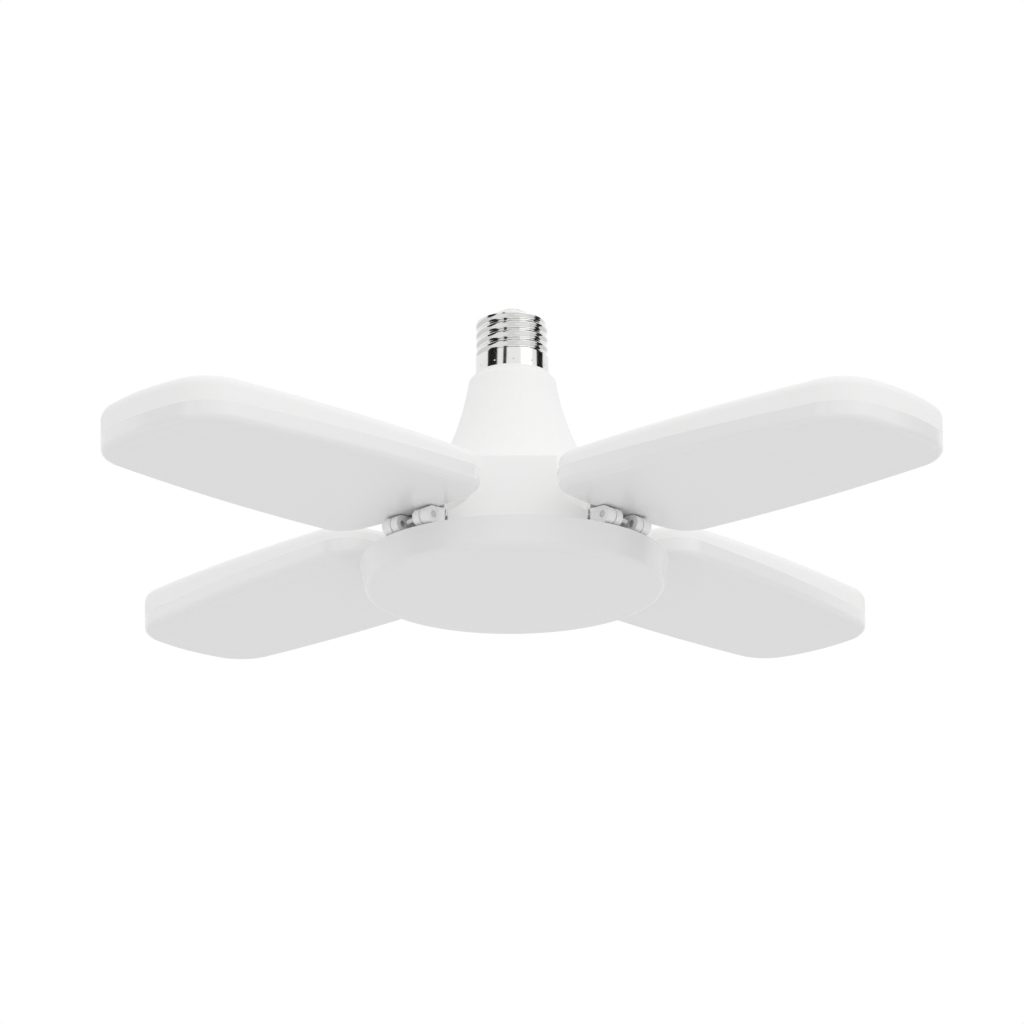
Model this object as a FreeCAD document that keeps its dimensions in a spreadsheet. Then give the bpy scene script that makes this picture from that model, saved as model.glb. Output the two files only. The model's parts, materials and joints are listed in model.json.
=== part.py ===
import FreeCAD, Part
import math
import os
import re

import Sketcher
from FreeCAD import Placement, Rotation, Vector

# A folding lamp on a screw cap: four blades of light hinged round a square hub, and a round
# light under the hub. Millimetres, +Z up. The origin is on the lamp's axis, at the rim of
# the screw cap where the cap meets the neck. Front is -Y, and the blades lie on the diagonals.

SIZES = [
    # name, value, what it is
    ("crest_radius", 13.1, "outside radius of the cap's thread crests"),
    ("thread_depth", 0.94, "crest to root of the rolled thread"),
    ("thread_pitch", 3.629, "rise of one turn of the thread"),
    ("thread_length", 13.6, "height of the threaded part of the cap"),
    ("skirt_height", 6.4, "height of the plain skirt under the thread"),
    ("skirt_step", 0.15, "how far the skirt stands outside the thread's crests"),
    ("shell_wall", 0.4, "sheet thickness of the cap"),
    ("dent_depth", 0.3, "depth of the staking dents in the skirt"),
    ("dent_rise", 2.0, "height of the staking dents above the rim"),
    ("insulator_height", 3.6, "height of the insulating cone above the cap's shell"),
    ("insulator_top_radius", 6.4, "radius of the insulating cone's top"),
    ("contact_radius", 4.9, "radius of the centre contact"),
    ("contact_height", 2.0, "height of the centre contact"),
    ("stem_radius", 1.2, "radius of the contact's stem"),
    ("spigot_height", 5.0, "how far the neck reaches up into the cap"),
    ("spigot_wall", 1.4, "wall of that part of the neck"),
    ("fit_gap", 0.1, "clearance between moulded pieces that fit together"),
    ("ring_radius", 13.7, "radius of the neck's ring under the cap"),
    ("ring_height", 1.2, "height of that ring"),
    ("shoulder_radius", 15.9, "radius of the neck's shoulder"),
    ("shoulder_drop", 3.4, "depth of the shoulder below the cap's rim"),
    ("neck_base_radius", 32.0, "radius of the neck's flared foot"),
    ("neck_height", 44.4, "cap rim to the top of the roof plate"),
    ("neck_hollow", 2.4, "how far the flare bends in from a straight cone"),
    ("neck_wall", 1.8, "wall of the neck"),
    ("roof_thickness", 2.0, "thickness of the roof plate at the neck's foot"),
    ("hub_height", 24.6, "height of the hub between the tray and the roof"),
    ("hub_wall", 2.2, "wall of the hub"),
    ("arm_reach", 40.0, "axis to the flat faces of the hub"),
    ("arm_half_width", 24.2, "half the width of those faces at the foot"),
    ("arm_top_half_width", 14.0, "half their width at the roof"),
    ("arm_foot_height", 6.7, "height of the upright foot of the faces"),
    ("arm_flare_height", 11.0, "height of the hollow flare above the foot"),
    ("arm_flare_hollow", 2.2, "how far the flare is hollowed"),
    ("core_radius", 31.0, "radius of the hub's round core"),
    ("hinge_radius", 52.2, "axis of the lamp to the axis of each hinge"),
    ("hinge_rise", 3.6, "hinge axis above the top of the tray"),
    ("barrel_radius", 3.1, "radius of the hinge knuckles"),
    ("pin_radius", 1.25, "radius of the hinge pins"),
    ("pin_gap", 0.05, "running clearance of the pins"),
    ("lead_slot", 3.8, "half the width of the slot the leads run in"),
    ("lug_thickness", 3.0, "thickness of the hub's hinge lugs"),
    ("knuckle_gap", 0.5, "gap between a lug and the blade's cheek"),
    ("washer_thickness", 0.3, "thickness of the friction washers"),
    ("cheek_thickness", 3.8, "thickness of the blade's hinge cheeks"),
    ("notch_gap", 0.4, "clearance of the blade's root in the hub's corner"),
    ("swing_gap", 0.8, "further clearance of the cheeks, which swing up towards the hub"),
    ("blade_droop", 1.6, "degrees the blades hang below level"),
    ("seam_rise", 10.4, "hinge axis up to the seam of a blade"),
    ("root_setback", 5.7, "middle of the blade's root behind the hinge axis"),
    ("root_corner_reach", -2.0, "hinge axis out to the corners of the root"),
    ("root_half_width", 36.5, "half the blade's width at the root"),
    ("root_corner_radius", 12.0, "rounding of the root's corners"),
    ("tip_corner_reach", 119.3, "hinge axis out to the corners of the tip"),
    ("tip_reach", 124.3, "hinge axis out to the middle of the tip"),
    ("tip_half_width", 28.8, "half the blade's width at the tip"),
    ("tip_corner_radius", 17.0, "rounding of the tip's corners"),
    ("side_bow", 3.0, "how far the long sides bow out"),
    ("housing_root_height", 5.6, "height of the back shell at the root"),
    ("housing_tip_height", 9.6, "height of the back shell at the tip"),
    ("housing_round", 3.8, "rounding of the back shell's edge"),
    ("housing_wall", 1.6, "wall of the back shell"),
    ("diffuser_depth", 7.0, "depth of a blade's milky cover below the seam"),
    ("diffuser_round", 3.0, "rounding of the cover's edge"),
    ("diffuser_wall", 1.3, "wall of the milky covers"),
    ("root_block_half_width", 9.5, "half the width of the blade's root block"),
    ("board_inset", 5.0, "edge of a blade's board inside the blade's outline"),
    ("board_thickness", 1.0, "thickness of the LED boards"),
    ("board_lift", 0.6, "underside of a blade's board above the seam"),
    ("led_side", 2.8, "side of an LED package"),
    ("led_height", 0.7, "height of an LED package"),
    ("led_pitch", 13.0, "spacing of the LEDs on a blade"),
    ("boss_radius", 3.0, "radius of the screw bosses"),
    ("boss_spacing", 40.0, "spacing of the bosses along a blade"),
    ("screw_radius", 1.2, "shank radius of the screws"),
    ("head_radius", 2.4, "head radius of the screws"),
    ("head_height", 1.3, "head height of the screws"),
    ("disc_radius", 55.0, "radius of the round light at its seam"),
    ("disc_depth", 12.3, "depth of the round light's cover"),
    ("disc_taper", 1.4, "how far the cover's wall leans in"),
    ("disc_round", 3.4, "rounding of the cover's lower edge"),
    ("disc_dome", 1.0, "swell of the cover's face"),
    ("tray_thickness", 2.0, "thickness of the round tray"),
    ("disc_board_radius", 45.0, "radius of the round LED board"),
    ("tray_screw_radius", 33.0, "axis to the screws that hold the tray"),
    ("neck_screw_radius", 23.0, "axis to the long screws that hold the neck"),
    ("neck_screw_grip", 6.0, "how far the long screws reach above the roof"),
    ("driver_half_length", 19.0, "half the length of the driver board"),
    ("driver_half_width", 14.0, "half the width of the driver board"),
    ("driver_rise", 9.0, "underside of the driver board above the hub's floor"),
    ("driver_thickness", 1.6, "thickness of the driver board"),
    ("lead_radius", 0.8, "radius of the insulated leads"),
    ("lead_offset", 2.2, "leads beside the middle of the hinge"),
    ("lead_bend", 2.0, "bend radius of the leads"),
    ("lead_clearance", 0.6, "leads to the walls of the ducts they run in"),
    ("supply_bend", 4.0, "bend radius of the leads up to the cap"),
    ("duct_setback", 6.4, "foremost point of the blade's root to the duct for its lead"),
    ("duct_overrun", 1.4, "how far that duct reaches past the back shell's wall"),
    ("duct_roof", 0.5, "roof of that duct under the shell's hollow"),
    ("board_screw_grip", 3.0, "how far the board screws reach into their bosses"),
    ("screw_tip_gap", 0.4, "space past the tips of those screws"),
    ("tip_gap", 1.0, "space past the tips of the tray's and the neck's screws"),
    ("capacitor_radius", 5.0, "radius of the bulk capacitor"),
    ("capacitor_height", 20.0, "height of the bulk capacitor"),
    ("core_length", 13.0, "length of the transformer"),
    ("core_width", 14.0, "width of the transformer"),
    ("core_height", 12.0, "height of the transformer"),
    ("bridge_length", 5.0, "length of the bridge rectifier"),
    ("bridge_width", 6.5, "width of the bridge rectifier"),
    ("bridge_height", 2.5, "height of the bridge rectifier"),
    ("chip_length", 5.0, "length of the driver chip"),
    ("chip_width", 4.0, "width of the driver chip"),
    ("chip_height", 1.6, "height of the driver chip"),
    ("fuse_radius", 1.8, "radius of the fusible resistor"),
    ("fuse_length", 9.0, "length of the fusible resistor"),
    ("part_round", 0.6, "rounding of the capacitor's and resistor's ends"),
]

DENTS = 12
FOUR = 4
SECTIONS_PER_TURN = 8
BLADES = {"front_right": -45, "rear_right": 45, "rear_left": 135, "front_left": -135}
SCREWS_PER_BLADE = 3
LED_ROWS = 4
LED_COLUMNS = 8
DISC_RINGS = {0.38: 8, 0.82: 16}  # share of the board's radius: LEDs on that ring
HALF_TURN = 180

doc = FreeCAD.newDocument("folding_blade_lamp")
sheet = doc.addObject("Spreadsheet::Sheet", "Sizes")
for row, (alias, amount, note) in enumerate(SIZES, start=1):
    sheet.set(f"A{row}", alias)
    sheet.set(f"B{row}", str(amount))
    sheet.set(f"C{row}", note)
    sheet.setAlias(f"B{row}", alias)
doc.recompute()
ALIASES = {alias for alias, amount, note in SIZES}
nodes = []

# Heights and places that follow from the sizes.
TRAY_TOP = "(-neck_height - roof_thickness - hub_height)"
ROOF_UNDER = "(-neck_height - roof_thickness)"
HINGE_HEIGHT = f"({TRAY_TOP} + hinge_rise)"
LUG_OUTER = "(lead_slot + lug_thickness)"
CHEEK_INNER = f"({LUG_OUTER} + knuckle_gap)"
CHEEK_OUTER = f"({CHEEK_INNER} + cheek_thickness)"
SHELL_TOP = "(skirt_height + thread_length)"
CONTACT_BASE = f"({SHELL_TOP} + insulator_height)"
DRIVER_UNDER = f"({TRAY_TOP} + hub_wall + driver_rise)"
DRIVER_TOP = f"({DRIVER_UNDER} + driver_thickness)"
NOTCH_APEX = "(arm_half_width * sqrt(2) - hinge_radius + notch_gap * sqrt(2))"


def bound(text):
    """The expression with each size's name pointed at the sheet."""
    def point(word):
        name = word.group()
        return f"Sizes.{name}" if name in ALIASES else name
    return re.sub(r"[a-z_]{3,}", point, text)


def value(text):
    """The expression's number."""
    return float(sheet.evalExpression(bound(text)))


def keep(item, label):
    """Name a finished piece and put it on the list of pieces to write."""
    item.Label = label
    nodes.append(item)
    return item


def new_body(name):
    return doc.addObject("PartDesign::Body", name)


def origin_feature(body, role):
    return next(item for item in body.Origin.OriginFeatures if item.Role == role)


def start_sketch(body, plane, lift="0", turn=0):
    """A sketch on one of the body's own planes, raised by lift and swung by turn."""
    sketch = body.newObject("Sketcher::SketchObject", "Sketch")
    sketch.AttachmentSupport = [(origin_feature(body, plane), "")]
    sketch.MapMode = "FlatFace"
    swing = Vector(0, 1, 0) if plane != "XY_Plane" else Vector(0, 0, 1)
    sketch.AttachmentOffset = Placement(Vector(), Rotation(swing, turn))
    sketch.setExpression("AttachmentOffset.Base.z", bound(lift))
    return sketch


def arc_radius(start, end, rise):
    """Radius of the arc between two corners that rises this far over its chord."""
    across = f"({end[0]} - ({start[0]}))^2 + ({end[1]} - ({start[1]}))^2"
    return f"({across}) / (8 * ({rise})) + ({rise}) / 2"


def outline(body, plane, corners, arcs=None, lift="0", turn=0):
    """Closed sketch through the corners. arcs gives the rise of a curved side, by the
    number of its first corner: outwards for a counter-clockwise outline, or inwards
    where the side's number is in a pair with -1."""
    arcs = arcs or {}
    sketch = start_sketch(body, plane, lift, turn)
    points = [Vector(value(x), value(y), 0) for x, y in corners]
    first_end = []
    for side, start in enumerate(points):
        end = points[(side + 1) % len(points)]
        if side not in arcs:
            sketch.addGeometry(Part.LineSegment(start, end))
            first_end.append(1)
            continue
        rise, way = arcs[side]
        chord = end - start
        outwards = Vector(chord.y, -chord.x, 0).normalize()
        middle = (start + end) * 0.5 + outwards * (value(rise) * way)
        sketch.addGeometry(Part.Arc(start, middle, end))
        first_end.append(1 if way > 0 else 2)
    for side, corner in enumerate(corners):
        before = side - 1 if side else len(corners) - 1
        begin = first_end[side]
        sketch.addConstraint(
            Sketcher.Constraint("Coincident", before, 3 - first_end[before], side, begin))
        for axis, text in zip(("DistanceX", "DistanceY"), corner):
            number = sketch.addConstraint(
                Sketcher.Constraint(axis, -1, 1, side, begin, value(text)))
            sketch.setExpression(f"Constraints[{number}]", bound(text))
    for side, (rise, way) in arcs.items():
        text = arc_radius(corners[side], corners[(side + 1) % len(corners)], rise)
        number = sketch.addConstraint(Sketcher.Constraint("Radius", side, value(text)))
        sketch.setExpression(f"Constraints[{number}]", bound(text))
    return sketch


def round_sketch(body, plane, radius, x="0", y="0", lift="0", turn=0):
    """A sketch of one circle."""
    sketch = start_sketch(body, plane, lift, turn)
    centre = Vector(value(x), value(y), 0)
    sketch.addGeometry(Part.Circle(centre, Vector(0, 0, 1), value(radius)))
    rules = (
        (Sketcher.Constraint("DistanceX", -1, 1, 0, 3, centre.x), x),
        (Sketcher.Constraint("DistanceY", -1, 1, 0, 3, centre.y), y),
        (Sketcher.Constraint("Radius", 0, value(radius)), radius),
    )
    for rule, text in rules:
        number = sketch.addConstraint(rule)
        sketch.setExpression(f"Constraints[{number}]", bound(text))
    return sketch


def raise_from(body, sketch, length, kind="Pad", both_ways=False, down=False):
    """Pad or Pocket a sketch along its plane's normal."""
    feature = body.newObject(f"PartDesign::{kind}", kind)
    feature.Profile = sketch
    feature.SideType = "Symmetric" if both_ways else "One side"
    feature.setExpression("Length", bound(length))
    feature.Reversed = down
    return feature


def add(body, sketch, length, both_ways=False, down=False):
    return raise_from(body, sketch, length, "Pad", both_ways, down)


def take(body, sketch, length, both_ways=False):
    """Cut upwards from the sketch, or both ways, and make sure that something went."""
    doc.recompute()
    before = body.Shape.Volume
    feature = raise_from(body, sketch, length, "Pocket", both_ways, down=not both_ways)
    doc.recompute()
    if not body.Shape.Volume < before:
        raise RuntimeError(f"{body.Name}: {feature.Name} cuts nothing")
    return feature


def repeat_round(body, features, count):
    """Repeat features evenly round the body's vertical axis."""
    pattern = body.newObject("PartDesign::PolarPattern", "Round")
    pattern.Originals = features
    pattern.Axis = (origin_feature(body, "Z_Axis"), [""])
    pattern.Angle = 360
    pattern.Occurrences = count
    body.Tip = pattern
    doc.recompute()
    return pattern


def revolve(body, corners, arcs=None, kind="Revolution"):
    """Turn a radius-and-height outline about the lamp's axis."""
    sketch = outline(body, "XZ_Plane", corners, arcs)
    feature = body.newObject(f"PartDesign::{kind}", kind)
    feature.Profile = sketch
    feature.ReferenceAxis = (sketch, ["V_Axis"])
    feature.Angle = 360
    doc.recompute()
    return feature


def fillet(body, edges, radius):
    """Round edges of the body's newest feature."""
    newest = body.Tip
    feature = body.newObject("PartDesign::Fillet", "Rounding")
    feature.Base = (newest, edges)
    feature.setExpression("Radius", bound(radius))
    doc.recompute()
    return feature


def rim_edges(shape, way):
    """Edges round the broadest face that looks up (way 1) or down (way -1)."""
    def slope(face):
        low_u, high_u, low_v, high_v = face.ParameterRange
        return face.normalAt((low_u + high_u) / 2, (low_v + high_v) / 2).z * way
    broadest = max((face for face in shape.Faces if slope(face) > 0.9), key=lambda f: f.Area)
    rim = broadest.OuterWire.Edges
    return [f"Edge{number}" for number, edge in enumerate(shape.Edges, start=1)
            if any(edge.isSame(other) for other in rim)]


def upright_edges(shape, wanted):
    """Upright edges whose foot passes the test."""
    names = []
    for number, edge in enumerate(shape.Edges, start=1):
        ends = [vertex.Point for vertex in edge.Vertexes]
        if len(ends) != 2 or abs(ends[0].z - ends[1].z) < 0.2:
            continue
        if (Vector(ends[0].x, ends[0].y, 0) - Vector(ends[1].x, ends[1].y, 0)).Length > 0.01:
            continue
        if wanted(ends[0]):
            names.append(f"Edge{number}")
    return names


def solid_node(label, shape, place=None):
    """A piece, or a group of like pieces, whose shape is worked out here."""
    item = doc.addObject("Part::Feature", label)
    item.Shape = shape
    if place is not None:
        item.Placement = place
    return keep(item, label)


def copies_round(shape, count, start=0):
    """Copies of a shape spaced evenly round the axis."""
    copies = []
    for index in range(count):
        turned = shape.copy()
        turned.rotate(Vector(), Vector(0, 0, 1), start + 360 * index / count)
        copies.append(turned)
    return copies


def lead_solid(corners, radius, bend):
    """A lead along straight runs joined by tangent arcs."""
    points = [Vector(*corner) for corner in corners]
    edges = []
    here = points[0]
    for before, corner, after in zip(points, points[1:], points[2:]):
        inwards = (before - corner).normalize()
        onwards = (after - corner).normalize()
        reach = bend / math.tan(inwards.getAngle(onwards) / 2)
        start = corner + inwards * reach
        end = corner + onwards * reach
        bisector = (inwards + onwards).normalize()
        centre = corner + bisector * math.hypot(bend, reach)
        edges.append(Part.LineSegment(here, start).toShape())
        edges.append(Part.Arc(start, centre - bisector * bend, end).toShape())
        here = end
    edges.append(Part.LineSegment(here, points[-1]).toShape())
    path = Part.Wire(edges)
    onwards = (points[1] - points[0]).normalize()
    section = Part.Wire([Part.Circle(points[0], onwards, radius).toShape()])
    return path.makePipeShell([section], True, False)


def numbers(*texts):
    """The values of several expressions."""
    return [value(text) for text in texts]


# ---- Screw cap ----

def cap_thread(radius, low, high):
    """A rolled single thread: a round section whose centre winds about the axis."""
    wobble, pitch = numbers("thread_depth / 2", "thread_pitch")
    steps = math.ceil((high - low) / pitch * SECTIONS_PER_TURN)
    sections = []
    for step in range(steps + 1):
        rise = (high - low) * step / steps
        wound = 2 * math.pi * rise / pitch
        centre = Vector(wobble * math.cos(wound), wobble * math.sin(wound), low + rise)
        sections.append(Part.Wire([Part.Circle(centre, Vector(0, 0, 1), radius).toShape()]))
    return Part.makeLoft(sections, True)


def make_screw_shell():
    crest, wall, depth, pitch, skirt, top = numbers(
        "crest_radius", "shell_wall", "thread_depth", "thread_pitch", "skirt_height",
        f"{SHELL_TOP} - shell_wall")
    middle = crest - depth / 2
    threaded = cap_thread(middle, skirt, top).cut(cap_thread(middle - wall, skirt, top))
    step = value("skirt_step")
    broad = crest + step
    plain = Part.makeCylinder(broad, skirt).cut(Part.makeCylinder(broad - wall, skirt - wall))
    plain = plain.cut(Part.makeCylinder(crest - depth - wall - step, skirt))
    last_turn = 2 * math.pi * (top - skirt) / pitch
    centre = Vector(math.cos(last_turn), math.sin(last_turn), 0) * (depth / 2)
    lip = Part.makeCylinder(middle, wall, centre + Vector(0, 0, top))
    mouth = value("insulator_top_radius + 1.6")
    lip = lip.cut(Part.makeCylinder(mouth, wall, Vector(0, 0, top)))
    rise, dent = numbers("dent_rise", "dent_depth")
    cone = Part.makeCone(0, 3 * dent, 3 * dent, Vector(broad - dent, 0, rise), Vector(1, 0, 0))
    plain = plain.cut(copies_round(cone, DENTS))
    return plain.fuse(threaded).fuse(lip)


solid_node("screw_shell", make_screw_shell())

insulator = new_body("Insulator")
INSULATOR_FOOT = "(skirt_height + thread_length - shell_wall - fit_gap)"
revolve(insulator, [
    ("stem_radius + fit_gap", f"{INSULATOR_FOOT} - 2"),
    ("crest_radius - thread_depth - shell_wall - 0.6", f"{INSULATOR_FOOT} - 2"),
    ("crest_radius - thread_depth - shell_wall - 0.6", INSULATOR_FOOT),
    ("insulator_top_radius + 1.5", INSULATOR_FOOT),
    ("insulator_top_radius + 1.5", f"{SHELL_TOP} + fit_gap"),
    ("insulator_top_radius + 1.3", f"{SHELL_TOP} + 1"),
    ("insulator_top_radius", CONTACT_BASE),
    ("stem_radius + fit_gap", CONTACT_BASE),
])
keep(insulator, "cap_insulator")

contact = new_body("Contact")
revolve(contact, [
    ("0", f"{INSULATOR_FOOT} - 4"),
    ("stem_radius", f"{INSULATOR_FOOT} - 4"),
    ("stem_radius", CONTACT_BASE),
    ("contact_radius", CONTACT_BASE),
    ("contact_radius * 0.7", f"{CONTACT_BASE} + contact_height * 0.75"),
    ("0", f"{CONTACT_BASE} + contact_height"),
], arcs={3: ("contact_height * 0.2", 1)})
keep(contact, "centre_contact")

# ---- Neck and roof ----

neck = new_body("Neck")
SPIGOT_OUTER = "(crest_radius - shell_wall - fit_gap)"
SPIGOT_INNER = f"({SPIGOT_OUTER} - spigot_wall)"
revolve(neck, [
    (SPIGOT_INNER, "-shoulder_drop - neck_wall"),
    ("shoulder_radius - neck_wall", "-shoulder_drop - neck_wall"),
    ("neck_base_radius - neck_wall", "-neck_height - roof_thickness"),
    ("neck_base_radius", "-neck_height - roof_thickness"),
    ("neck_base_radius", "-neck_height"),
    ("shoulder_radius", "-shoulder_drop"),
    ("ring_radius", "-ring_height"),
    ("ring_radius", "0"),
    (SPIGOT_OUTER, "0"),
    (SPIGOT_OUTER, "spigot_height"),
    (SPIGOT_INNER, "spigot_height"),
], arcs={1: ("neck_hollow", 1), 4: ("neck_hollow", -1), 5: ("0.6", 1)})


def cross_corners(half, reach):
    """Corners of an even cross."""
    return [(half, f"-{reach}"), (half, f"-{half}"), (reach, f"-{half}"), (reach, half),
            (half, half), (half, reach), (f"-{half}", reach), (f"-{half}", half),
            (f"-{reach}", half), (f"-{reach}", f"-{half}"), (f"-{half}", f"-{half}"),
            (f"-{half}", f"-{reach}")]


cross = outline(neck, "XY_Plane", cross_corners("arm_top_half_width", "arm_reach"),
                lift=ROOF_UNDER)
add(neck, cross, "roof_thickness")
plate = round_sketch(neck, "XY_Plane", "neck_base_radius", lift=ROOF_UNDER)
add(neck, plate, "roof_thickness")
well = round_sketch(neck, "XY_Plane", "neck_screw_radius - boss_radius - 1", lift=ROOF_UNDER)
take(neck, well, "roof_thickness")
boss = round_sketch(neck, "XY_Plane", "boss_radius", x="neck_screw_radius",
                    lift="-neck_height")
boss_pad = add(neck, boss, "neck_screw_grip")
repeat_round(neck, [boss_pad], FOUR)
hole = round_sketch(neck, "XY_Plane", "screw_radius + pin_gap", x="neck_screw_radius",
                    lift=ROOF_UNDER)
hole_cut = take(neck, hole, "roof_thickness + neck_screw_grip - tip_gap / 2")
repeat_round(neck, [hole_cut], FOUR)
keep(neck, "neck_housing")

# ---- Hub ----

hub = new_body("Hub")


def arm_corners(inset, foot):
    """Front outline of two opposite arms, drawn in by the inset."""
    wide = f"(arm_half_width - {inset})"
    narrow = f"(arm_top_half_width - {inset})"
    knee = f"({TRAY_TOP} + arm_foot_height)"
    hip = f"({TRAY_TOP} + arm_foot_height + arm_flare_height)"
    return [(f"-{wide}", foot), (wide, foot), (wide, knee), (narrow, hip),
            (narrow, ROOF_UNDER), (f"-{narrow}", ROOF_UNDER), (f"-{narrow}", hip),
            (f"-{wide}", knee)]


FLARES = {2: ("arm_flare_hollow", -1), 6: ("arm_flare_hollow", -1)}
FLOOR = f"({TRAY_TOP} + hub_wall)"
for plane in ("XZ_Plane", "YZ_Plane"):
    arms = outline(hub, plane, arm_corners("0", TRAY_TOP), FLARES)
    add(hub, arms, "2 * arm_reach", both_ways=True)
core = round_sketch(hub, "XY_Plane", "core_radius", lift=TRAY_TOP)
add(hub, core, "hub_height")
for plane in ("XZ_Plane", "YZ_Plane"):
    hollow = outline(hub, plane, arm_corners("hub_wall", FLOOR), FLARES)
    take(hub, hollow, "2 * (arm_reach - hub_wall)", both_ways=True)
inside = round_sketch(hub, "XY_Plane", "core_radius - hub_wall", lift=FLOOR)
take(hub, inside, "hub_height - hub_wall")
pillar = round_sketch(hub, "XY_Plane", "boss_radius + 0.6", x="neck_screw_radius",
                      lift=TRAY_TOP)
pillar_pad = add(hub, pillar, "hub_height")
tray_boss = round_sketch(hub, "XY_Plane", "boss_radius", x="tray_screw_radius", lift=TRAY_TOP)
tray_boss_pad = add(hub, tray_boss, "arm_foot_height")
standoff = round_sketch(hub, "XY_Plane", "boss_radius * 0.8", x="driver_half_length - 3",
                        y="3 - driver_half_width", lift=TRAY_TOP)
standoff_pad = add(hub, standoff, "hub_wall + driver_rise")
repeat_round(hub, [pillar_pad, tray_boss_pad], FOUR)
repeat_round(hub, [standoff_pad], 2)
head_room = round_sketch(hub, "XY_Plane", "head_radius + fit_gap", x="neck_screw_radius",
                         lift=TRAY_TOP)
head_cut = take(hub, head_room, "head_height + fit_gap")
shaft = round_sketch(hub, "XY_Plane", "screw_radius + pin_gap", x="neck_screw_radius",
                     lift=TRAY_TOP)
shaft_cut = take(hub, shaft, "hub_height")
tray_hole = round_sketch(hub, "XY_Plane", "screw_radius + pin_gap", x="tray_screw_radius",
                         lift=TRAY_TOP)
tray_cut = take(hub, tray_hole, "arm_foot_height - tip_gap")
repeat_round(hub, [head_cut, shaft_cut, tray_cut], FOUR)
wire_hole = round_sketch(hub, "XY_Plane", "4 * lead_radius", lift=TRAY_TOP)
take(hub, wire_hole, "hub_wall")


def tongue_corners(root):
    """Side outline of a hinge lug: a bar with a round end about the pin."""
    low = f"({HINGE_HEIGHT} - barrel_radius)"
    high = f"({HINGE_HEIGHT} + barrel_radius)"
    end = "hinge_radius + barrel_radius"
    return [(root, low), ("hinge_radius", low), (end, HINGE_HEIGHT), ("hinge_radius", high),
            (root, high)]


QUARTER_RISE = "barrel_radius * (1 - sqrt(0.5))"
ROUND_END = {1: (QUARTER_RISE, 1), 2: (QUARTER_RISE, 1)}
LUG_ROOT = "(arm_half_width * sqrt(2) - 1.4 * hub_wall)"
tongue = outline(hub, "XZ_Plane", tongue_corners(LUG_ROOT), ROUND_END, turn=45)
tongue_pad = add(hub, tongue, f"2 * {LUG_OUTER}", both_ways=True)
slot = outline(hub, "XZ_Plane", [
    ("arm_half_width * sqrt(2) - 3 * hub_wall", f"{FLOOR}"),
    ("hinge_radius + 2 * barrel_radius", f"{FLOOR}"),
    ("hinge_radius + 2 * barrel_radius", f"{HINGE_HEIGHT} + 1.5 * lead_radius"),
    ("arm_half_width * sqrt(2) - 3 * hub_wall", f"{HINGE_HEIGHT} + 1.5 * lead_radius"),
], turn=45)
slot_cut = take(hub, slot, "2 * lead_slot", both_ways=True)
gap = outline(hub, "XZ_Plane", [
    ("arm_half_width * sqrt(2) + notch_gap", f"{TRAY_TOP}"),
    ("hinge_radius + 2 * barrel_radius", f"{TRAY_TOP}"),
    ("hinge_radius + 2 * barrel_radius", f"{HINGE_HEIGHT} + 2 * barrel_radius"),
    ("arm_half_width * sqrt(2) + notch_gap", f"{HINGE_HEIGHT} + 2 * barrel_radius"),
], turn=45)
gap_cut = take(hub, gap, "2 * lead_slot", both_ways=True)
pin_hole = round_sketch(hub, "XZ_Plane", "pin_radius + pin_gap", x="hinge_radius",
                        y=HINGE_HEIGHT, turn=45)
pin_cut = take(hub, pin_hole, f"2 * {CHEEK_OUTER}", both_ways=True)
repeat_round(hub, [tongue_pad, slot_cut, gap_cut, pin_cut], FOUR)
keep(hub, "hub_frame")

# ---- Round light under the hub ----

def disc_cover():
    """A round cup with a leaning wall, a rounded edge and a slightly swollen face."""
    cover = new_body("DiscCover")
    top = TRAY_TOP
    bottom = f"({TRAY_TOP} - disc_depth + disc_dome)"
    wall = "diffuser_wall"
    edge = "(disc_radius - disc_taper)"
    revolve(cover, [
        ("0", f"{TRAY_TOP} - disc_depth"),
        (f"{edge} - disc_round", bottom),
        (edge, f"{bottom} + disc_round"),
        ("disc_radius", top),
        (f"disc_radius - {wall}", top),
        (f"{edge} - {wall}", f"{bottom} + disc_round"),
        (f"{edge} - disc_round", f"{bottom} + {wall}"),
        ("0", f"{TRAY_TOP} - disc_depth + {wall}"),
    ], arcs={0: ("0.3", 1), 1: ("disc_round * (1 - sqrt(0.5))", 1),
             5: ("(disc_round - diffuser_wall) * (1 - sqrt(0.5))", -1)})
    return cover


keep(disc_cover(), "centre_diffuser")

tray = new_body("Tray")
add(tray, round_sketch(tray, "XY_Plane", "disc_radius - diffuser_wall - disc_taper * 0.3 - 0.1",
                       lift=f"{TRAY_TOP} - tray_thickness"), "tray_thickness")
take(tray, round_sketch(tray, "XY_Plane", "4 * lead_radius",
                        lift=f"{TRAY_TOP} - tray_thickness"), "tray_thickness")
tray_screw_hole = take(tray, round_sketch(
    tray, "XY_Plane", "screw_radius + pin_gap", x="tray_screw_radius",
    lift=f"{TRAY_TOP} - tray_thickness"), "tray_thickness")
repeat_round(tray, [tray_screw_hole], FOUR)
keep(tray, "centre_tray")

DISC_BOARD_TOP = f"({TRAY_TOP} - tray_thickness)"
disc_board = new_body("DiscBoard")
add(disc_board, round_sketch(disc_board, "XY_Plane", "disc_board_radius",
                             lift=f"{DISC_BOARD_TOP} - board_thickness"), "board_thickness")
head_gap = take(disc_board, round_sketch(
    disc_board, "XY_Plane", "head_radius + 3 * fit_gap", x="tray_screw_radius",
    lift=f"{DISC_BOARD_TOP} - board_thickness"), "board_thickness")
repeat_round(disc_board, [head_gap], FOUR)
keep(disc_board, "centre_led_board")


def led(x, y, top):
    """One LED package, hanging from its board."""
    side, tall = numbers("led_side", "led_height")
    return Part.makeBox(side, side, tall, Vector(x - side / 2, y - side / 2, top - tall))


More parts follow.
